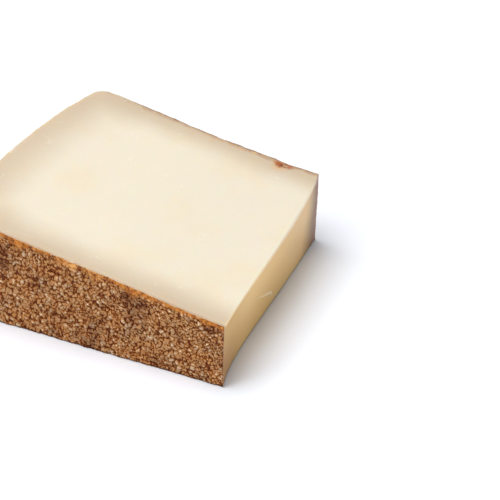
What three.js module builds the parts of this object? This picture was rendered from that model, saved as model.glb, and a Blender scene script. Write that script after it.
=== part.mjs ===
// A wedge of hard, brown-rinded mountain cheese, cut by hand from a wheel and lying on one of its cut faces.
// It is one solid: paste and rind are a single piece, and the rind shows as pebbled relief on three sides.
//
// Millimetres. +X runs from the heel of the wheel towards its hub, +Y from the near flat rind to the far one,
// and +Z up. The origin is the middle of the footprint, on the face that the wedge lies on.
import * as THREE from "three";

// The wheel
const wheelRadius = 300; // hub axis to the corner between heel and flat rind
const wheelHeight = 110; // near flat rind to far flat rind
const heelBulge = 5.7; // how far the middle of the heel stands out past its two corners
const heelRound = 5; // radius of those corners

// The wedge
const hubDistance = 183; // hub axis to the near end of the cross cut
const nearSlope = 0.1476; // rise of the upper cut for each millimetre from the hub, along the near rind
const farSlope = 0.1535; // the same along the far rind: the knife went in slightly twisted

// The cross cut that took the tip off the wedge
const cutLean = 0.6; // the near end of its upper edge overhangs its foot
const cutRun = 15.2; // how much further from the hub its far end is than its near end
const cutUpperBow = 1.6; // its upper edge bows out, most of all two thirds of the way across
const cutLowerBow = 2.5; // its lower edge bows in
const cutLowerBowAt = 27; // and does so most this far from the near rind

// Relief of the rind
const pebbleHeight = 0.36; // pebble crowns stand this far above the mean surface
const seamDepth = 0.24; // the seams between them lie this far below it
const pebbleSpread = 0.16; // uneven heights
const pebbleDrift = 0.22; // uneven places
const edgeCalm = 0.35; // share of the relief that is left beside a knife cut
const rindWave = 0.3; // slow unevenness of a flat rind
const farHollow = { at: -64, width: 20, depth: 1.1 }; // shallow hollow in the far rind
const farNick = { at: -26, width: 4, depth: 0.7, reach: 4 }; // nick in its upper edge
const farFlare = { at: -12, width: 7, height: 0.85 }; // and a swelling beside the cross cut
const heelSwell = { at: 42, width: 18, height: 0.7 }; // a swelling of the heel
const knifeWave = 0.12; // ripple that the knife left in the upper cut

// Mesh
const rindColumns = 200;
const cutColumns = 24;
const rows = 20;
const capRings = [0.955, 0.8, 0.5]; // rings that close a face, as shares of the way out from its middle

const columns = rindColumns + cutColumns;
const halfHeight = wheelHeight / 2;

// A number from 0 to 1 that depends only on two whole numbers and on what it is for.
function scatter(column, row, purpose) {
  const mixed = Math.sin(column * 127.1 + row * 311.7 + purpose * 74.7) * 43758.5453;
  return mixed - Math.floor(mixed);
}

function bell(distance, width) {
  return Math.exp(-((distance / width) ** 2));
}

// Height of the upper cut face over a point of the footprint.
function upperCut(x, y) {
  const slope = THREE.MathUtils.lerp(nearSlope, farSlope, y / wheelHeight);
  const ripple = knifeWave * Math.sin(x / 9 + y / 40) + knifeWave * Math.sin(x / 21 - y / 17);
  return (hubDistance - x) * slope + ripple;
}

// Where the cross cut is, at a distance y from the near rind. Level 0 is its foot and level 1 its upper edge.
function crossCutX(y, level) {
  const share = y / wheelHeight;
  const straight = -cutRun * share;
  const bowIn = cutLowerBow * (y / cutLowerBowAt) * Math.exp(1 - y / cutLowerBowAt);
  const bowOut = cutUpperBow * 6.75 * share ** 2 * (1 - share);
  return straight + THREE.MathUtils.lerp(-bowIn, cutLean + bowOut, level);
}

// The heel's chord at a level: the rind there is an arc about the hub axis.
function heelX(level) {
  return hubDistance - wheelRadius * Math.cos(level * Math.atan(nearSlope));
}

// A point of the rind's course at a level: along the near rind, round the heel and back along the far rind.
function rindPoint(share, level) {
  const heel = heelX(level);
  const nearStart = crossCutX(0, level);
  const farEnd = crossCutX(wheelHeight, level);
  const nearRun = nearStart - heel;
  const farRun = farEnd - heel;
  const along = share * (nearRun + wheelHeight + farRun);
  let inward; // distance from the heel's chord
  let y;
  if (along <= nearRun) {
    inward = nearRun - along;
    y = 0;
  } else if (along <= nearRun + wheelHeight) {
    inward = 0;
    y = along - nearRun;
  } else {
    inward = along - nearRun - wheelHeight;
    y = wheelHeight;
  }
  const fromRind = Math.min(y, wheelHeight - y);
  if (inward < heelRound && fromRind < heelRound) {
    const turn = (Math.PI / 4) * (inward > 0 ? 1 - inward / heelRound : 1 + fromRind / heelRound);
    const side = heelRound * (1 - Math.cos(turn));
    inward = heelRound * (1 - Math.sin(turn));
    y = y < halfHeight ? side : wheelHeight - side;
  }
  const crown = 1 - ((y - halfHeight) / halfHeight) ** 2;
  return new THREE.Vector2(heel + inward - heelBulge * crown, y);
}

// The way out of the rind, in the plane of the footprint.
function rindOutward(share, level) {
  const step = 1e-3;
  const before = rindPoint(Math.max(share - step, 0), level);
  const after = rindPoint(Math.min(share + step, 1), level);
  const along = after.sub(before).normalize();
  return new THREE.Vector2(-along.y, along.x);
}

// How far the rind stands out at one corner of the mesh. The corners form a triangular lattice in which every
// third one is the crown of a pebble and its six neighbours lie in the seam around it.
function relief(column, row, x, y) {
  const axial = column - (row - (row % 2)) / 2;
  const isCrown = (((axial + 2 * row) % 3) + 3) % 3 === 0;
  const uneven = pebbleSpread * (2 * scatter(column, row, 1) - 1);
  const beside = Math.min(row, rows - row, column, rindColumns - column);
  const calm = beside === 0 ? edgeCalm : 1;
  const wave = rindWave * (Math.sin(x / 11 + row / 6) * 0.6 + Math.sin(x / 27 + y / 13) * 0.4);
  const isFar = y > wheelHeight - heelRound;
  const topward = Math.max(0, 1 - (rows - row) / farNick.reach);
  const hollow = isFar
    ? farHollow.depth * bell(x - farHollow.at, farHollow.width) +
      farNick.depth * bell(x - farNick.at, farNick.width) * topward -
      farFlare.height * bell(x - farFlare.at, farFlare.width)
    : 0;
  const isHeel = Math.min(y, wheelHeight - y) > heelRound;
  const swelling = isHeel ? heelSwell.height * bell(y - heelSwell.at, heelSwell.width) : 0;
  return ((isCrown ? pebbleHeight : -seamDepth) + uneven) * calm + wave + swelling - hollow;
}

// A corner of the mesh on the rind.
function rindCorner(column, row) {
  const isEnd = column === 0 || column === rindColumns; // there the corners keep to the edge of the cross cut
  const isRim = row === 0 || row === rows; // and there to the edges of the two faces
  const stray = isEnd ? 0 : pebbleDrift * (2 * scatter(column, row, 2) - 1) + (row % 2) / 2;
  const lift = isEnd || isRim ? 0 : pebbleDrift * (2 * scatter(column, row, 3) - 1);
  const share = (column + stray) / rindColumns;
  const level = (row + lift) / rows;
  const place = rindPoint(share, level);
  const outward = isEnd ? new THREE.Vector2(0, column === 0 ? -1 : 1) : rindOutward(share, level);
  place.addScaledVector(outward, relief(column, row, place.x, place.y));
  return new THREE.Vector3(place.x, place.y, level * upperCut(place.x, place.y));
}

// A corner of the mesh on the cross cut, between the ends of the two flat rinds.
function cutCorner(column, row) {
  const level = row / rows;
  const fromFar = (column - rindColumns) / cutColumns;
  const y = THREE.MathUtils.lerp(rindCorner(rindColumns, row).y, rindCorner(0, row).y, fromFar);
  const x = crossCutX(THREE.MathUtils.clamp(y, 0, wheelHeight), level);
  return new THREE.Vector3(x, y, level * upperCut(x, y));
}

const corners = [];
const faces = [];

function addCorner(corner) {
  corners.push(corner.x, corner.y, corner.z);
  return corners.length / 3 - 1;
}

// The wall all round the wedge: one closed ring of corners a level. Returns the lowest ring and the highest.
function addWall() {
  const rings = [];
  for (let row = 0; row <= rows; row += 1) {
    const ring = [];
    for (let column = 0; column < columns; column += 1) {
      ring.push(addCorner(column <= rindColumns ? rindCorner(column, row) : cutCorner(column, row)));
    }
    rings.push(ring);
  }
  for (let row = 0; row < rows; row += 1) {
    for (let column = 0; column < columns; column += 1) {
      const next = (column + 1) % columns;
      const [a, b] = [rings[row][column], rings[row][next]];
      const [c, d] = [rings[row + 1][column], rings[row + 1][next]];
      if (row % 2 === 1) {
        faces.push(a, d, b, a, c, d); // every second ring is staggered, so the shorter diagonal changes sides
      } else {
        faces.push(a, c, b, b, c, d);
      }
    }
  }
  return [rings[0], rings[rows]];
}

// Closes a face from its rim inwards, by rings that each have half the corners of the one before.
function addCap(rim, heightAt, isUpper) {
  const across = rim.map((corner) => new THREE.Vector2(corners[3 * corner], corners[3 * corner + 1]));
  const middle = across.reduce((sum, place) => sum.add(place), new THREE.Vector2()).divideScalar(rim.length);
  const addFace = (a, b, c) => faces.push(a, ...(isUpper ? [c, b] : [b, c]));
  const addInside = (place) => addCorner(new THREE.Vector3(place.x, place.y, heightAt(place.x, place.y)));
  let outer = rim;
  let skip = 1;
  for (const reach of capRings) {
    skip *= 2;
    const inner = [];
    for (let i = 0; i < rim.length; i += skip) {
      inner.push(addInside(middle.clone().lerp(across[i], reach)));
    }
    inner.forEach((d, i) => {
      const e = inner[(i + 1) % inner.length];
      const [a, b, c] = [outer[2 * i], outer[2 * i + 1], outer[(2 * i + 2) % outer.length]];
      addFace(a, b, d);
      addFace(b, e, d);
      addFace(b, c, e);
    });
    outer = inner;
  }
  const centre = addInside(middle);
  outer.forEach((corner, i) => addFace(corner, outer[(i + 1) % outer.length], centre));
}

function wedgeGeometry() {
  const [foot, brim] = addWall();
  addCap(foot, () => 0, false);
  addCap(brim, upperCut, true);
  const geometry = new THREE.BufferGeometry();
  geometry.setAttribute("position", new THREE.Float32BufferAttribute(corners, 3));
  geometry.setIndex(faces);
  geometry.computeVertexNormals();
  geometry.computeBoundingBox();
  const box = geometry.boundingBox;
  geometry.translate(-(box.min.x + box.max.x) / 2, -(box.min.y + box.max.y) / 2, 0);
  return geometry;
}

const cheese = new THREE.MeshStandardMaterial({ color: 0xf0e3c6, roughness: 0.55, metalness: 0 });

const wedge = new THREE.Mesh(wedgeGeometry(), cheese);
wedge.name = "gruyere";

const part = new THREE.Group();
part.add(wedge);

export default part;
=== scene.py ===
import math

import bmesh
import bpy
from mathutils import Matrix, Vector, noise


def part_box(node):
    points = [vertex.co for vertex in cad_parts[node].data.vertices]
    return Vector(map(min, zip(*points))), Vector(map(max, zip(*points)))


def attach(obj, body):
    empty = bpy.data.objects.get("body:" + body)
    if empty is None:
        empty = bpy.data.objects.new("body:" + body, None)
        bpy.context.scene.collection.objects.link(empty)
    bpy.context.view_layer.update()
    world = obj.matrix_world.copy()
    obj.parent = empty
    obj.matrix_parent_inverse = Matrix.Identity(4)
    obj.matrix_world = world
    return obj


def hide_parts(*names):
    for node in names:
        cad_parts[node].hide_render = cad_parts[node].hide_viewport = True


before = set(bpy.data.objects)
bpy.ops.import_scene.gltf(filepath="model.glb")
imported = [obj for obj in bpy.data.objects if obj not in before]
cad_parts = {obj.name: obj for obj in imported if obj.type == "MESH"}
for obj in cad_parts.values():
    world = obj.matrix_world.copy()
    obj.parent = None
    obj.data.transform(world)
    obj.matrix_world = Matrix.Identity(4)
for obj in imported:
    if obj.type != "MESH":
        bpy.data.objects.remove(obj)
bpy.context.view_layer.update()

blockLow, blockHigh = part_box("gruyere")
mm = 0.001  # the block is shaped in millimetres, and scaled to metres once its mesh is closed

# The wedge has the same sizes as the solid that it stands for
wedge = {
    "wheelRadius": 300.0,  # hub axis to the corner between heel and flat rind
    "wheelHeight": 110.0,  # near flat rind to far flat rind
    "heelBulge": 5.7,
    "heelRound": 5.0,
    "hubDistance": 183.0,  # hub axis to the near end of the cross cut
    "nearSlope": 0.1476,  # rise of the upper cut towards the heel, along the near rind
    "farSlope": 0.1535,
    "cutLean": 0.6,
    "cutRun": 15.2,
    "cutUpperBow": 1.6,
    "cutLowerBow": 2.5,
    "cutLowerBowAt": 27.0,
    "knifeWave": 0.12,
    "lipRound": (0.15, 0.4),  # how the upper cut turns over into the cross cut: inwards and down
    "rindReach": 0.68,  # how far the solid's tallest pebble stands out of its near rind
}
cornerX = blockHigh.x / mm - wedge["cutLean"]
cornerY = blockLow.y / mm + wedge["rindReach"]
corner = Vector((cornerX, cornerY, 0))  # where the foot of the cross cut meets the near rind
halfHeight = wedge["wheelHeight"] / 2
middleY = cornerY + halfHeight  # halfway between the flat rinds

# Its mesh and the slow unevenness of its faces, in millimetres
surface = {
    "rindColumns": 880,
    "cutColumns": 70,
    "levels": 90,
    "upperStep": 1.5,  # grid of the upper cut
    "lowerStep": 5.0,  # and of the lower one
    "rimMargin": 2.2,  # both grids stay this far inside their rim
    "dentPitch": 3.8,  # lumps that are wider than the pebbles
    "dentRelief": 0.4,
    "crumbPitch": 0.62,
    "crumbRelief": 0.1,
    "rindWave": 0.3,
    "edgeCalm": 0.5,  # share of the pebbles' relief that is left at a knife cut
    "smearCalm": 0.5,  # and under a smear
    "hollow": (-64.0, 20.0, 1.1),  # in the far rind: place, width and depth
    "nick": (-26.0, 4.0, 0.7),  # in its upper edge
    "nickReach": 6.0,  # how far down the nick goes
    "flare": (-12.0, 7.0, -0.85),  # where it swells out beside the cross cut
    "heelSwell": (42.0, 18.0, 0.7),  # in the heel: place, width and height
    "pastePitch": 5.0,
    "pasteRelief": 0.05,
}

# The pebbles of the rind, in pitches where nothing else is said
pebbles = {
    "seed": 5,  # any whole number above 0: each one puts the pebbles elsewhere
    "pitches": (1.7, 1.15),  # of the coarse ones and of the fine ones, in millimetres
    "patchPitch": 6.5,  # coarse and fine ones change places in patches, also in millimetres
    "patchShift": (31, 7, 11),
    "patchBlend": (-0.05, 0.12),  # coarse below and fine above
    "wanders": ((3.0, 0.7), (0.8, 0.22)),  # off an even pattern: over what distance and how far
    "ownScale": 7.31,  # gives pebbles that are neighbours unlike numbers
    "alike": (0.01, 0.05),  # where the numbers differ this little, two pebbles have grown together
    "grownGap": 0.1,  # which narrows their seam by this
    "seamWidth": 0.22,
    "dome": (0.6, 0.35),  # how far out a crown is round, and by what share it falls
    "heights": (0.9, 0.5),  # mean, and what a pebble's own number adds
    "meanHeight": 0.6,  # the height that lies on the smooth surface
    "relief": 0.62,  # crown to seam, in millimetres
}
noise.seed_set(pebbles["seed"])  # unseeded, the noise would change with the time of day

# Where the knife smeared the rind over, below the upper edge, in millimetres
smears = {
    "reach": 3.4,
    "uneven": (7.0, 3.7),  # pitch and level of the noise that makes the reach uneven
    "shares": (0.75, 1.3),  # share of the reach: mean and spread
    "thick": (-37.0, 17.0, 0.5),  # where it reaches further: place, width and by what share
    "full": 0.4,  # share of the reach that is smeared all over
    "leastReach": 0.4,
    "ragged": (1.6, 1.4),  # pitch and size of its lower edge's unevenness
    "band": 1.45,  # about the depth of the narrow smear that is everywhere
    "bandFade": (0.4, 1.4),  # in bands: where it begins to fade and where it ends
    "bandRagged": (1.3, 0.7),
}


def smooth(low, high, value):
    share = min(max((value - low) / (high - low), 0.0), 1.0)
    return share * share * (3 - 2 * share)


def bell(distance, width):
    return math.exp(-((distance / width) ** 2))


def upperCut(x, y):  # height of the upper cut face
    across = y / wedge["wheelHeight"]
    slope = wedge["nearSlope"] + (wedge["farSlope"] - wedge["nearSlope"]) * across
    ripple = math.sin(x / 9 + y / 40) + math.sin(x / 21 - y / 17)
    return (wedge["hubDistance"] - x) * slope + wedge["knifeWave"] * ripple


def crossCutX(y, level):  # level 0 is the foot of the cross cut and 1 its upper edge
    share = y / wedge["wheelHeight"]
    near = y / wedge["cutLowerBowAt"]
    foot = -wedge["cutLowerBow"] * near * math.exp(1 - near)
    brim = wedge["cutLean"] + wedge["cutUpperBow"] * 6.75 * share**2 * (1 - share)
    below = (1 - level) * wedge["hubDistance"] * wedge["nearSlope"]
    inwards, down = wedge["lipRound"]
    lip = inwards * max(1 - below / down, 0) ** 2
    return foot + (brim - foot) * level - wedge["cutRun"] * share - lip


def heelX(level):  # the heel's chord: the rind there is an arc about the hub axis
    return wedge["hubDistance"] - wedge["wheelRadius"] * math.cos(level * math.atan(wedge["nearSlope"]))


def rindSpot(share, level):  # along the near rind, round the heel and back along the far rind
    height, rounding = wedge["wheelHeight"], wedge["heelRound"]
    heel = heelX(level)
    nearRun = crossCutX(0, level) - heel
    farRun = crossCutX(height, level) - heel
    along = share * (nearRun + height + farRun)
    if along <= nearRun:
        inward, y = nearRun - along, 0.0
    elif along <= nearRun + height:
        inward, y = 0.0, along - nearRun
    else:
        inward, y = along - nearRun - height, height
    fromRind = min(y, height - y)
    if inward < rounding and fromRind < rounding:
        turn = math.pi / 4 * (1 - inward / rounding if inward > 0 else 1 + fromRind / rounding)
        side = rounding * (1 - math.cos(turn))
        inward = rounding * (1 - math.sin(turn))
        y = side if y < height / 2 else height - side
    crown = 1 - ((y - height / 2) / (height / 2)) ** 2
    return Vector((heel + inward - wedge["heelBulge"] * crown, y))


def rindOutward(share, level):
    step = 1e-3
    along = rindSpot(min(share + step, 1), level) - rindSpot(max(share - step, 0), level)
    return Vector((-along.y, along.x)).normalized()


def pebblesOf(spot, pitch):  # height of one size of pebbles, and a number for each pebble
    wanders = (noise.noise_vector(spot / (reach * pitch)) * size for reach, size in pebbles["wanders"])
    distances, centres = noise.voronoi((spot + sum(wanders, Vector()) * pitch) / pitch)
    own, other = (noise.noise(centre * pebbles["ownScale"]) for centre in centres[:2])
    grown = 1 - smooth(*pebbles["alike"], abs(own - other))
    gap = distances[1] - distances[0] + pebbles["grownGap"] * grown
    reach, fall = pebbles["dome"]
    dome = 1 - fall * min(distances[0] / reach, 1.0) ** 2
    mean, spread = pebbles["heights"]
    return smooth(0.0, pebbles["seamWidth"], gap) * dome * (mean + spread * own), own


def pebbleAt(spot):  # height from 0 in a seam to 1 on a crown, and a number for each pebble
    coarse, fine = (pebblesOf(spot, pitch) for pitch in pebbles["pitches"])
    patch = noise.noise(spot / pebbles["patchPitch"] + Vector(pebbles["patchShift"]))
    share = smooth(*pebbles["patchBlend"], patch)
    return [first + (second - first) * share for first, second in zip(coarse, fine)]


def strayed(below, spot, pitch, size):
    return below + size * noise.noise(spot / pitch)


def smearAt(spot, below):  # 1 where the rind is smeared over and 0 where it isn't
    pitch, level = smears["uneven"]
    mean, spread = smears["shares"]
    at, width, extra = smears["thick"]
    uneven = noise.noise(Vector((spot.x / pitch, spot.y / pitch, level)))
    reach = smears["reach"] * (mean + spread * uneven + extra * bell(spot.x - at, width))
    edge = strayed(below, spot, *smears["ragged"])
    wide = 1 - smooth(smears["full"] * reach, max(reach, smears["leastReach"]), edge)
    narrow = 1 - smooth(*smears["bandFade"], strayed(below, spot, *smears["bandRagged"]) / smears["band"])
    return max(wide, narrow)


def rindVertex(column, row):  # a corner of the rind, with the height and tint of its pebble and its smear
    share, level = column / surface["rindColumns"], row / surface["levels"]
    place = rindSpot(share, level)
    isEnd = column in (0, surface["rindColumns"])
    outward = Vector((0, 1 if column else -1)) if isEnd else rindOutward(share, level)
    top = upperCut(place.x, place.y)
    spot = Vector((place.x, place.y, level * top))
    height, own = pebbleAt(spot)
    smeared = smearAt(spot, top - spot.z)
    calm = surface["edgeCalm"] if isEnd or row in (0, surface["levels"]) else 1.0
    calm *= 1 - (1 - surface["smearCalm"]) * smeared
    crumbs = surface["crumbRelief"] * noise.noise(spot / surface["crumbPitch"])
    wave = math.sin(place.x / 11 + level * 3.3) * 0.6 + math.sin(place.x / 27 + place.y / 13) * 0.4
    relief = (pebbles["relief"] * (height - pebbles["meanHeight"]) + crumbs) * calm
    relief += surface["rindWave"] * wave
    relief += surface["dentRelief"] * noise.noise(spot / surface["dentPitch"])
    if min(place.y, wedge["wheelHeight"] - place.y) > wedge["heelRound"]:
        at, width, swelling = surface["heelSwell"]
        relief += swelling * bell(place.y - at, width)
    if place.y > wedge["wheelHeight"] - wedge["heelRound"]:
        topward = 1 - smooth(0, surface["nickReach"], top - spot.z)
        for name, share in (("hollow", 1), ("nick", topward), ("flare", 1)):
            at, width, depth = surface[name]
            relief -= depth * bell(place.x - at, width) * share
    place += outward * relief
    if isEnd:
        place.x = crossCutX(min(max(place.y, 0), wedge["wheelHeight"]), level)
    return Vector((place.x, place.y, level * upperCut(place.x, place.y))), height, own, smeared


def isInside(x, y, level, margin):  # of the wedge's outline at a level, by at least the margin
    height, rounding = wedge["wheelHeight"], wedge["heelRound"]
    fromRind = min(y, height - y)
    crown = 1 - ((y - height / 2) / (height / 2)) ** 2
    fromHeel = x - heelX(level) + wedge["heelBulge"] * crown
    if fromRind < rounding and fromHeel < rounding:
        return math.hypot(rounding - fromRind, rounding - fromHeel) < rounding - margin
    return min(fromRind, fromHeel, crossCutX(min(max(y, 0), height), level) - x) > margin


def coverCut(bm, rim, level, step):  # closes a cut face with a grid, and triangles between that and its rim
    reach = wedge["wheelRadius"] - wedge["hubDistance"] + wedge["heelBulge"]
    middle = Vector(((wedge["cutLean"] - reach) / 2, wedge["wheelHeight"] / 2, 0))
    count = int(wedge["wheelHeight"] / step)
    verts = bmesh.ops.create_grid(bm, x_segments=count, y_segments=count, size=reach / 2)["verts"]
    bmesh.ops.translate(bm, verts=verts, vec=middle)
    spare = [v for v in verts if not isInside(v.co.x, v.co.y, level, surface["rimMargin"])]
    bmesh.ops.delete(bm, geom=spare, context="VERTS")
    verts = [v for v in verts if v.is_valid]
    inside = set(verts)
    outline = [edge for edge in bm.edges if edge.is_boundary and inside.issuperset(edge.verts)]
    filling = bmesh.ops.triangle_fill(bm, use_beauty=True, edges=rim + outline, normal=(0, 0, 1))["geom"]
    for vertex in verts:
        relief = surface["pasteRelief"] * noise.noise(vertex.co / surface["pastePitch"])
        vertex.co.z = level * (upperCut(vertex.co.x, vertex.co.y) + relief)
    faces = {item for item in filling if isinstance(item, bmesh.types.BMFace)}
    for face in faces | {face for vertex in verts for face in vertex.link_faces}:
        face.material_index = 1


def gruyereBlock():
    bm = bmesh.new()
    names = ("pebble", "tint", "smear", "brim")
    pebble, tint, smear, brim = (bm.verts.layers.float.new(name) for name in names)
    rindColumns, levels = surface["rindColumns"], surface["levels"]
    columns = rindColumns + surface["cutColumns"]
    bmesh.ops.create_grid(bm, x_segments=columns, y_segments=levels, size=0.5)
    ends = [[rindVertex(column, row)[0].y for row in range(levels + 1)] for column in (0, rindColumns)]
    for vertex in bm.verts:  # rolled round the wedge: rind first, then the cross cut
        column, row = round((vertex.co.x + 0.5) * columns), round((vertex.co.y + 0.5) * levels)
        if column <= rindColumns:
            vertex.co, vertex[pebble], vertex[tint], vertex[smear] = rindVertex(column, row)
            vertex[brim] = 1.0 if row == levels else 0.0
        else:
            near, far = ends[0][row], ends[1][row]
            y = far + (near - far) * (column - rindColumns) / surface["cutColumns"]
            x = crossCutX(min(max(y, 0), wedge["wheelHeight"]), row / levels)
            vertex.co = (x, y, row / levels * upperCut(x, y))
    for index, face in enumerate(bm.faces):
        face.material_index = 0 if index % columns < rindColumns else 2
    bmesh.ops.remove_doubles(bm, verts=[v for v in bm.verts if v.is_boundary], dist=1e-3)
    print("rind rolled:", len(bm.faces), "faces")

    rims = {0: [], 1: []}
    for edge in bm.edges:
        if edge.is_boundary:
            rims[1 if edge.verts[0].co.z > 1 else 0].append(edge)
    coverCut(bm, rims[0], 0, surface["lowerStep"])
    coverCut(bm, rims[1], 1, surface["upperStep"])
    bmesh.ops.recalc_face_normals(bm, faces=bm.faces)
    for face in bm.faces:
        face.smooth = True
    for edge in bm.edges:  # a knife leaves crisp edges
        edge.smooth = len({face.material_index for face in edge.link_faces}) == 1
    print("cut faces closed:", len(bm.faces), "faces, open edges:", sum(e.is_boundary for e in bm.edges))
    bmesh.ops.translate(bm, verts=bm.verts, vec=corner)
    bmesh.ops.scale(bm, verts=bm.verts, vec=(mm, mm, mm))
    mesh = bpy.data.meshes.new("gruyereBlock")
    bm.to_mesh(mesh)
    bm.free()
    block = bpy.data.objects.new("gruyereBlock", mesh)
    bpy.context.collection.objects.link(block)
    return block


# Shader maths written as Python: a Term is one socket of a finish
class Term:
    def __init__(self, finish, socket):
        self.finish, self.socket = finish, socket

    def maths(self, operation, *terms):
        return self.finish.add("ShaderNodeMath", {"operation": operation}, dict(enumerate(terms)))

    def __add__(self, other):
        return self.maths("ADD", self, other)

    def __sub__(self, other):
        return self.maths("SUBTRACT", self, other)

    def __mul__(self, other):
        return self.maths("MULTIPLY", self, other)

    def __truediv__(self, other):
        return self.maths("DIVIDE", self, other)

    def __pow__(self, other):
        return self.maths("POWER", self, other)

    def __rsub__(self, other):
        return self.maths("SUBTRACT", other, self)

    def __rtruediv__(self, other):
        return self.maths("DIVIDE", other, self)

    def __rpow__(self, other):
        return self.maths("POWER", other, self)

    __radd__, __rmul__ = __add__, __mul__

    def __abs__(self):
        return self.maths("ABSOLUTE", self)

    def most(self, other):
        return self.maths("MAXIMUM", self, other)


def between(share, first, second):  # goes from first to second as share goes from 0 to 1
    return share * (second - first) + first


class Finish:
    def __init__(self, name):
        self.material = bpy.data.materials.new(name)
        self.material.use_nodes = True
        self.tree = self.material.node_tree
        self.tree.nodes.clear()

    def add(self, kind, settings=None, inputs=None, output=0):
        node = self.tree.nodes.new(kind)
        for name, value in (settings or {}).items():
            if name == "stops":
                while len(node.color_ramp.elements) < len(value):
                    node.color_ramp.elements.new(0.5)
                for stop, (position, colour) in zip(node.color_ramp.elements, value):
                    stop.position, stop.color = position, (*colour, 1)
            else:
                setattr(node, name, value)
        for name, value in (inputs or {}).items():
            if isinstance(value, Term):
                self.tree.links.new(value.socket, node.inputs[name])
            else:
                node.inputs[name].default_value = value
        return Term(self, node.outputs[output])

    def mix(self, factor, first, second, blend="MIX"):  # of two colours
        first, second = (c if isinstance(c, Term) else (*c, 1) for c in (first, second))
        settings = {"data_type": "RGBA", "blend_type": blend}
        return self.add("ShaderNodeMix", settings, {0: factor, 6: first, 7: second}, 2)

    def ramp(self, value, stops):
        return self.add("ShaderNodeValToRGB", {"stops": stops}, {0: value})

    def step(self, value, low, high):  # 0 below low and 1 above high, smooth between
        settings = {"interpolation_type": "SMOOTHSTEP"}
        return self.add("ShaderNodeMapRange", settings, {"Value": value, "From Min": low, "From Max": high})

    def noise(self, place, pitch, detail=2, roughness=0.5):  # the pitch is in millimetres
        inputs = {"Vector": place, "Scale": 1 / (pitch * mm), "Detail": detail, "Roughness": roughness}
        return self.add("ShaderNodeTexNoise", None, inputs)

    def stray(self, place, pitch, size, detail=3):  # noise from minus half of size to half of it
        return (self.noise(place, pitch, detail) - 0.5) * size

    def patches(self, place, pitch, low, high, detail=2):  # 0 where noise is below low, 1 where above high
        return self.step(self.noise(place, pitch, detail), low, high)

    def attribute(self, name):
        return self.add("ShaderNodeAttribute", {"attribute_name": name}, None, "Fac")

    def place(self):
        return self.add("ShaderNodeTexCoord", None, None, "Object")

    def axes(self, place):  # in millimetres
        metres = [self.add("ShaderNodeSeparateXYZ", None, {0: place}, axis) for axis in "XYZ"]
        return [term / mm for term in metres]

    def distance(self, place, spot):
        settings = {"operation": "DISTANCE"}
        return self.add("ShaderNodeVectorMath", settings, {0: place, 1: spot}, "Value")

    def bump(self, height, strength, distance):
        inputs = {"Height": height, "Strength": strength, "Distance": distance}
        return self.add("ShaderNodeBump", None, inputs)

    def finish(self, **inputs):  # the shader's sockets, with spaces left out of their names
        shader = self.tree.nodes.new("ShaderNodeBsdfPrincipled")
        for socket in shader.inputs:
            value = inputs.pop(socket.name.replace(" ", ""), None)
            if isinstance(value, Term):
                self.tree.links.new(value.socket, socket)
            elif value is not None:
                socket.default_value = value
        end = self.tree.nodes.new("ShaderNodeOutputMaterial")
        self.tree.links.new(shader.outputs[0], end.inputs["Surface"])
        return self.material


pasteColours = {
    "heart": (0.785, 0.71, 0.57),
    "warm": (0.785, 0.68, 0.505),
    "rim": (0.60, 0.48, 0.34),
    "edge": (0.38, 0.20, 0.10),
    "brim": (0.16, 0.075, 0.05),
    "farEdge": (0.27, 0.12, 0.07),
    "blotch": (0.36, 0.078, 0.010),
    "bruise": (0.12, 0.018, 0.004),
    "stain": (0.72, 0.42, 0.16),
    "wisp": (0.88, 0.83, 0.72),
    "crossHigh": (0.845, 0.545, 0.205),
    # painted shade of the cross cut's lower part
    "crossLow": (0.72, 0.445, 0.145),
    "crossPale": (0.80, 0.53, 0.26),
    "crossNear": (0.63, 0.35, 0.08),
    # painted shade low on the near side
    "crossNearLow": (0.40, 0.175, 0.035),
    "crossFar": (0.16, 0.055, 0.02),
    # painted contact shadow along the cross cut's foot
    "foot": (0.10, 0.05, 0.03),
    # painted glow of light through the cross cut's upper edge
    "lip": (0.98, 0.84, 0.65),
    "lipNear": (0.96, 0.74, 0.47),
    "scrape": (0.95, 0.80, 0.60),
}

# The upper cut, in millimetres. Places along it count from the corner where the cuts meet the near rind
upperLook = {
    "heelFade": (-106.0, -80.0),  # the far edge is pale at the heel and dark away from it
    "heelPale": 0.8,
    "rimWidths": (28.0, 19.0),  # how deep the darker rim is, at the heel and away from it
    "rimStray": (20.0, 6.0),  # pitch and size
    "farRim": 0.12,  # how much plainer it is on the far side
    "swell": (-27.0, -21.0, 1.4),  # the far rind swells out: where it begins, where it is full and how far
    "nearEdge": (0.0, 1.4, 0.65),  # dark edge: depths where it begins to fade and ends, and how plain it is
    "farEdge": (0.9, 3.8, 0.95),
    "edgeStray": (1.5, 1.2),
    "edgePatches": (4.0, 0.4, 0.6, 3),  # pitch, noise where they begin and where they are full, detail
    "edgeLeast": 0.6,
    "mottlePitch": 30.0,
    "markPitch": 1.6,
    "brimStray": (3.0, 0.25),
    "brimPlain": 0.72,
    "crystalScale": 90.0,
    "crystalPatches": (18.0, 0.45, 0.6),
    "crystalPlain": 0.45,
    "wispPitch": 11.0,
    "wispPatches": (9.0, 0.55, 0.66),
    "wispPlain": 0.4,
    "grainPitch": 1.1,
}

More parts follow.
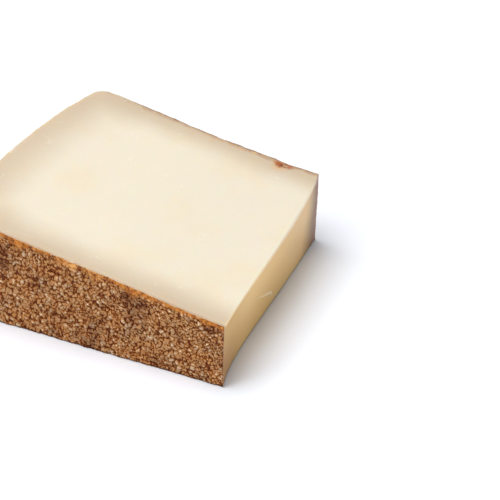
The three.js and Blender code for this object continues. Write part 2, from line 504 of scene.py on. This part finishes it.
# Marks on it: place along and across, size, how plain it is and its colour
marks = {
    "nickHalo": (-29.8, 106.2, 4.8, 0.6, "stain"),
    "nickStart": (-31.6, 107.9, 2.1, 0.55, "blotch"),
    "nickMiddle": (-30.2, 107.3, 2.9, 0.9, "blotch"),
    "nickTail": (-26.5, 107.8, 2.6, 0.7, "blotch"),
    "nickDark": (-29.2, 107.1, 1.3, 0.9, "bruise"),
    "nickStreak": (-28.2, 108.5, 1.0, 0.9, "bruise"),
    "nickStreakFoot": (-27.8, 106.8, 0.9, 0.75, "bruise"),
    "spot": (-59.7, 105.0, 1.8, 0.4, "stain"),
    "faintSpot": (-68.5, 104.4, 1.2, 0.25, "stain"),
    "otherSpot": (-47.6, 106.9, 1.5, 0.25, "stain"),
    "edgeStain": (-41.8, 108.6, 1.6, 0.6, "stain"),
    "edgeTrail": (-38.4, 108.9, 1.5, 0.45, "stain"),
}

# A scrape on the cross cut: its two ends, across and up, its width and how plain it is at either end,
# in millimetres from the same corner
scrape = {
    "streak": ((38.4, 15.1), (57.5, 6.6), 0.8, (0.15, 0.75)),
    "hook": ((56.6, 7.0), (58.2, 4.8), 0.9, (0.6, 0.35)),
}


def fromRindTerm(finish, x, across):  # distance from the nearest rind, rounded at the wheel's corners
    heel = corner.x + wedge["hubDistance"] - wedge["wheelRadius"]
    fromHeel = x - heel + (1 - (across / halfHeight) ** 2) * wedge["heelBulge"]
    terms = {0: halfHeight - abs(across), 1: fromHeel, 2: wedge["heelRound"] * 1.2}
    return finish.add("ShaderNodeMath", {"operation": "SMOOTH_MIN"}, terms)


def upperFinish():
    finish = Finish("cheesePaste")
    place = finish.place()
    x, y = finish.axes(place)[:2]
    across = y - middleY
    fromRind = fromRindTerm(finish, x, across)
    awayFromHeel = finish.step(x, *(corner.x + along for along in upperLook["heelFade"]))
    farSide = finish.step(across, 0.0, halfHeight)
    rimWidth = between(awayFromHeel, *upperLook["rimWidths"])
    rim = 1 - finish.step(fromRind + finish.stray(place, *upperLook["rimStray"]), 0.0, rimWidth)
    start, full, swell = upperLook["swell"]
    besideCut = finish.step(x, corner.x + start, corner.x + full) * farSide
    inner = fromRind + finish.stray(place, *upperLook["edgeStray"], 2) + besideCut * swell
    pairs = zip(upperLook["nearEdge"], upperLook["farEdge"])
    fade, end, plainness = (between(farSide, near, far) for near, far in pairs)
    edge = (1 - finish.step(inner, fade, end)) * plainness
    edge = edge * between(finish.patches(place, *upperLook["edgePatches"]), upperLook["edgeLeast"], 1.0)
    edge = edge * (1 - (1 - awayFromHeel) * farSide * upperLook["heelPale"])
    mottle = finish.noise(place, upperLook["mottlePitch"], 4)
    colour = finish.mix(finish.step(mottle, 0.45, 0.7), pasteColours["heart"], pasteColours["warm"])
    colour = finish.mix(rim * (farSide * upperLook["farRim"] + 1), colour, pasteColours["rim"])
    colour = finish.mix(edge, colour, pasteColours["edge"])
    flat = finish.add("ShaderNodeCombineXYZ", None, {0: x, 1: y})
    for markX, markY, size, plainness, name in marks.values():
        distance = finish.distance(flat, (corner.x + markX, corner.y + markY, 0))
        ragged = distance + finish.stray(place, upperLook["markPitch"], size)
        mark = (1 - finish.step(ragged, 0.1 * size, 1.05 * size)) * plainness
        colour = finish.mix(mark, colour, pasteColours[name])
    brim = finish.step(finish.attribute("brim") + finish.stray(place, *upperLook["brimStray"]), 0.72, 0.95)
    brim = brim * farSide * awayFromHeel * upperLook["brimPlain"]
    colour = finish.mix(brim, colour, pasteColours["brim"])
    inputs = {"Vector": place, "Scale": upperLook["crystalScale"]}
    crystal = 1 - finish.step(finish.add("ShaderNodeTexVoronoi", None, inputs, "Distance"), 0.02, 0.045)
    crystal = crystal * finish.patches(place, *upperLook["crystalPatches"])
    vein = finish.noise(place, upperLook["wispPitch"], 3) - 0.5
    wisp = 1 - finish.step(abs(vein), 0.002, 0.009)
    wisp = wisp * finish.patches(place, *upperLook["wispPatches"])
    pale = (crystal * upperLook["crystalPlain"]).most(wisp * upperLook["wispPlain"])
    colour = finish.mix(pale, colour, pasteColours["wisp"])
    grain = finish.noise(place, upperLook["grainPitch"], 3) + wisp * 0.5
    return finish.finish(
        BaseColor=colour,
        Roughness=finish.step(mottle, 0.2, 0.8) * 0.1 + 0.42,
        SubsurfaceWeight=0.5,
        SubsurfaceRadius=(1.0, 0.6, 0.25),
        SubsurfaceScale=0.006,
        Normal=finish.bump(grain, 0.15, 0.0003),
    )


# The cross cut, in millimetres. Distances are from the rind that is named, or from its foot or upper edge
crossLook = {
    "stray": (12.0, 5.0),  # pitch and size
    "rise": (8.0, 24.0),  # painted shade: dark up to the first height and light from the second
    "pale": (-5.0, 30.0),  # paler from here to there, across from its middle
    "palePlain": 0.35,
    "nearWidth": 32.0,  # browner this far from the near rind
    "nearDepths": (2.0, 20.0),  # and painted shade, darker still between these depths below the upper edge
    "farWidth": 21.0,  # dark this far from the far rind
    "farLean": 0.12,  # and less far higher up
    "sidePlain": 0.9,
    "lipSides": (-45.0, 25.0),  # painted glow under the upper edge, across from its middle: its near colour and its far one
    "lipDepths": (0.2, 2.2, 3.4),  # full down to the first, gone at the second near and at the third far
    "lipPlain": 0.95,
    "nearEdge": (0.0, 1.8),
    "farEdge": (0.6, 6.8),
    "farEdgeLean": 0.08,
    # painted contact shadow: dark below these heights
    "foot": (0.1, 0.8),
    "footPlain": 0.6,
    "grainPitch": 1.2,
}


def scrapeTerm(finish, place, y, z, start, end, width, plainness):  # 1 on a scratch between two points
    runY, runZ = end[0] - start[0], end[1] - start[1]
    length = math.hypot(runY, runZ)
    shiftedY = y - (corner.y + start[0]) + finish.stray(place, 3.0, 1.4, 2)
    shiftedZ = z - start[1] + finish.stray(place, 2.0, 1.2, 2)
    along = (shiftedY * (runY / length) + shiftedZ * (runZ / length)) / length
    beside = shiftedY * (runZ / length) - shiftedZ * (runY / length)
    core = abs(beside) - (along * 0.7 + 0.3) * (width / 2)
    ends = finish.step(along, 0.0, 0.12) * (1 - finish.step(along, 0.9, 1.03))
    return (1 - finish.step(core, 0.0, 0.4)) * ends * between(along, *plainness)


def crossFinish():
    finish = Finish("cheeseCrossCut")
    place = finish.place()
    x, y, z = finish.axes(place)
    across = y - middleY
    fromNear, fromFar = across + halfHeight, halfHeight - across
    stray = finish.stray(place, *crossLook["stray"])
    slope = between(fromNear / wedge["wheelHeight"], wedge["nearSlope"], wedge["farSlope"])
    below = (corner.x + wedge["hubDistance"] - x) * slope - z
    sidePlain = crossLook["sidePlain"]
    # painted shade: the cross cut darkens towards its foot
    high = finish.step(z, *crossLook["rise"])
    colour = finish.mix(high, pasteColours["crossLow"], pasteColours["crossHigh"])
    pale = finish.step(across, *crossLook["pale"]) * crossLook["palePlain"]
    colour = finish.mix(pale, colour, pasteColours["crossPale"])
    near = 1 - finish.step(fromNear + stray, 0.0, crossLook["nearWidth"])
    # painted shade on the near side, darker lower down
    lowerShade = finish.step(below, *crossLook["nearDepths"])
    nearColour = finish.mix(lowerShade, pasteColours["crossNear"], pasteColours["crossNearLow"])
    colour = finish.mix(near * sidePlain, colour, nearColour)
    far = 1 - finish.step(fromFar + stray + z * crossLook["farLean"], 0.0, crossLook["farWidth"])
    colour = finish.mix(far * sidePlain, colour, pasteColours["crossFar"])
    # painted light: the cross cut glows just under its upper edge
    farSide = finish.step(across, *crossLook["lipSides"])
    full, goneNear, goneFar = crossLook["lipDepths"]
    lip = 1 - finish.step(below + stray * 0.15, full, between(farSide, goneNear, goneFar))
    lip = lip * (1 - far * 0.5) * crossLook["lipPlain"]
    colour = finish.mix(lip, colour, finish.mix(farSide, pasteColours["lipNear"], pasteColours["lip"]))
    nearEdge = 1 - finish.step(fromNear + stray * 0.15, *crossLook["nearEdge"])
    farEdge = 1 - finish.step(fromFar + stray * 0.4 + z * crossLook["farEdgeLean"], *crossLook["farEdge"])
    colour = finish.mix(nearEdge, colour, pasteColours["edge"])
    colour = finish.mix(farEdge, colour, pasteColours["farEdge"])
    streak, hook = (scrapeTerm(finish, place, y, z, *scratch) for scratch in scrape.values())
    line = streak.most(hook)
    colour = finish.mix(line, colour, pasteColours["scrape"])
    # painted contact shadow along the foot of the cross cut
    foot = (1 - finish.step(z, *crossLook["foot"])) * crossLook["footPlain"]
    colour = finish.mix(foot, colour, pasteColours["foot"])
    grain = finish.noise(place, crossLook["grainPitch"], 3)
    return finish.finish(
        BaseColor=colour,
        Roughness=0.45,
        SubsurfaceWeight=0.5,
        SubsurfaceRadius=(1.0, 0.6, 0.25),
        SubsurfaceScale=0.006,
        Normal=finish.bump(grain + line * 0.8, 0.2, 0.0003),
    )


rindColours = {
    # dark in the seams: partly the rind's own colour and partly painted shade in the crevices
    "seam": (0.10, 0.018, 0.002),
    "flank": (0.30, 0.09, 0.014),
    # partly the pebbles' own light tan and partly a painted highlight on their rims
    "shoulder": (0.62, 0.335, 0.135),
    "crown": (0.40, 0.185, 0.065),
    # painted highlight: pale glints on the highest crowns and crumbs
    "light": (1.0, 0.80, 0.55),
    "smear": (0.50, 0.16, 0.022),
    "glow": (0.69, 0.255, 0.042),
    "amber": (0.98, 0.52, 0.17),
    "grey": (0.36, 0.215, 0.12),
    "dark": (0.19, 0.05, 0.013),
    "warm": (1.0, 0.88, 0.74),  # what a warm patch leaves of the other colours
    "bruised": (0.42, 0.30, 0.24),  # what a dark place leaves of the other colours
    "foot": (0.30, 0.22, 0.20),  # and what the painted contact shadow at the foot leaves of them
}

# The rind, in millimetres
rindLook = {
    "pebbleStops": {"seam": 0.14, "flank": 0.38, "shoulder": 0.6, "crown": 0.76, "light": 1.0},  # by height: painted shade in the seams, painted highlights on the shoulders and the highest crowns
    "smearStops": {"dark": 0.36, "smear": 0.46, "glow": 0.58},
    "crumbPitch": 0.6,
    "crumbHeight": 1.1,  # what crumbs add to a pebble's height
    "patchPitch": 14.0,
    "greyPlain": 0.6,
    "warmPatches": (9.0, 0.42, 0.62),
    "darkPitch": 4.0,
    "darkPlain": 0.5,
    "bruiseStray": (3.5, 1.8),
    "smearPitch": 3.5,
    "amber": (-59.0, 5.0, 14.0),  # brightest stretch of the smear: place, and where it fades on either side
    "amberPlain": 0.6,
    "smearPatches": (2.5, 0.4, 0.6, 3),  # pitch, noise where they begin and where they are full, detail
    "smearLeast": 0.65,  # how plain the smear is between its patches
    # painted contact shadow: the rind darkens below the second height and is darkest below the first
    "foot": (0.1, 0.9),
}

# Dark places on the near rind: along it and up, then size, from the corner where the cuts meet it
bruises = {
    "high": (-40.5, 28.8, 2.4),
    "broad": (-34.2, 26.0, 3.0),
    "corner": (-4.4, 23.4, 2.2),
    "heelward": (-96.0, 28.0, 5.0),
    "foot": (-73.4, 3.0, 2.0),
}


def rindStops(name):
    return [(stop, rindColours[colour]) for colour, stop in rindLook[name].items()]


def rindFinish():
    finish = Finish("cheeseRind")
    place = finish.place()
    x, z = finish.axes(place)[::2]
    pebble, tint, smear = (finish.attribute(name) for name in ("pebble", "tint", "smear"))
    crumbs = finish.noise(place, rindLook["crumbPitch"], 3, 0.6)
    patches = finish.noise(place, rindLook["patchPitch"], 3)
    height = pebble + (crumbs - 0.5) * rindLook["crumbHeight"]
    # pebble colours by height: the rind's own tones, with painted shade in the seams and painted highlights
    # on the shoulders and highest crowns
    colour = finish.ramp(height, rindStops("pebbleStops"))
    grey = finish.step(tint + patches, 0.55, 0.85) * finish.step(pebble, 0.45, 0.7) * rindLook["greyPlain"]
    colour = finish.mix(grey, colour, rindColours["grey"])
    warm = finish.patches(place, *rindLook["warmPatches"])
    colour = finish.mix(warm, colour, rindColours["warm"], "MULTIPLY")
    dark = patches + finish.noise(place, rindLook["darkPitch"]) * 0.3
    dark = finish.step(dark, 0.62, 0.85) * rindLook["darkPlain"]
    ragged = finish.stray(place, *rindLook["bruiseStray"]) + tint * 1.5
    for along, up, size in bruises.values():
        distance = finish.distance(place, (corner + Vector((along, 0, up))) * mm) / (size * mm)
        dark = dark.most(1 - finish.step(distance + ragged, 0.4, 1.5))
    colour = finish.mix(dark, colour, rindColours["bruised"], "MULTIPLY")
    blend = crumbs * 0.35 + finish.noise(place, rindLook["smearPitch"], 4, 0.65) * 0.65 + tint * 0.25
    smeared = finish.ramp(blend, rindStops("smearStops"))
    at, fade, end = rindLook["amber"]
    amber = 1 - finish.step(abs(x - (corner.x + at)), fade, end)
    amber = amber * finish.step(blend, 0.4, 0.55) * rindLook["amberPlain"]
    smeared = finish.mix(amber, smeared, rindColours["amber"])
    through = between(finish.patches(place, *rindLook["smearPatches"]), rindLook["smearLeast"], 1.0)
    colour = finish.mix(smear * through, colour, smeared)
    # painted contact shadow along the rind's foot, where it stands on the table
    foot = 1 - finish.step(z, *rindLook["foot"])
    colour = finish.mix(foot, colour, rindColours["foot"], "MULTIPLY")
    return finish.finish(
        BaseColor=colour,
        Roughness=0.62 - pebble * 0.17,
        SpecularIORLevel=0.14,
        Normal=finish.bump(crumbs, 0.7, 0.0004),
    )


block = gruyereBlock()
block.data.materials.append(rindFinish())
block.data.materials.append(upperFinish())
block.data.materials.append(crossFinish())
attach(block, "root")
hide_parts("gruyere")
print("block finished")


# Table, light and camera
studio = {
    "floorSize": 6.0,
    "worldLight": 0.24,
    "worldColour": (0.95, 0.98, 1.0),
    "lamps": {  # power, size across, size up, distance and the direction that it comes from
        "key": (77.0, 3.0, 2.2, 2.4, (-0.31, -0.15, 1.0)),
        "fill": (3.5, 0.9, 0.9, 1.2, (0.93, -0.25, 0.13)),
        "front": (2.4, 0.6, 0.6, 1.3, (-0.6, -1.0, 0.65)),
    },
    "lens": 180.0,
    "cameraPlace": (355.57, -672.53, 527.46),
    "cameraAim": (-0.38816, 0.75822, -0.52386),
}


def floorFinish():
    finish = Finish("whiteTable")
    return finish.finish(BaseColor=(0.91, 0.94, 1.0, 1), Roughness=0.6, SpecularIORLevel=0.2)


def makeStudio():
    bm = bmesh.new()
    bmesh.ops.create_grid(bm, x_segments=1, y_segments=1, size=studio["floorSize"] / 2)
    mesh = bpy.data.meshes.new("table")
    bm.to_mesh(mesh)
    bm.free()
    table = bpy.data.objects.new("table", mesh)
    table.location.z = blockLow.z - 0.0002
    table.data.materials.append(floorFinish())
    bpy.context.collection.objects.link(table)

    world = bpy.data.worlds.new("studio")
    world.use_nodes = True
    world.node_tree.nodes["Background"].inputs["Color"].default_value = (*studio["worldColour"], 1)
    world.node_tree.nodes["Background"].inputs["Strength"].default_value = studio["worldLight"]
    bpy.context.scene.world = world

    for name, (power, across, up, distance, direction) in studio["lamps"].items():
        light = bpy.data.lights.new(name, "AREA")
        light.shape, light.size, light.size_y = "RECTANGLE", across, up
        light.energy = power
        lamp = bpy.data.objects.new(name, light)
        lamp.location = Vector(direction).normalized() * distance
        lamp.rotation_euler = Vector(direction).to_track_quat("Z", "Y").to_euler()
        bpy.context.collection.objects.link(lamp)

    camera = bpy.data.cameras.new("camera")
    camera.lens, camera.sensor_width = studio["lens"], 36.0
    eye = bpy.data.objects.new("camera", camera)
    eye.location = (Vector(studio["cameraPlace"]) + corner) * mm
    eye.rotation_euler = Vector(studio["cameraAim"]).to_track_quat("-Z", "Y").to_euler()
    bpy.context.collection.objects.link(eye)
    scene = bpy.context.scene
    scene.camera = eye
    scene.view_settings.view_transform = "Standard"
    scene.view_settings.look = "None"


makeStudio()
print("studio set up")
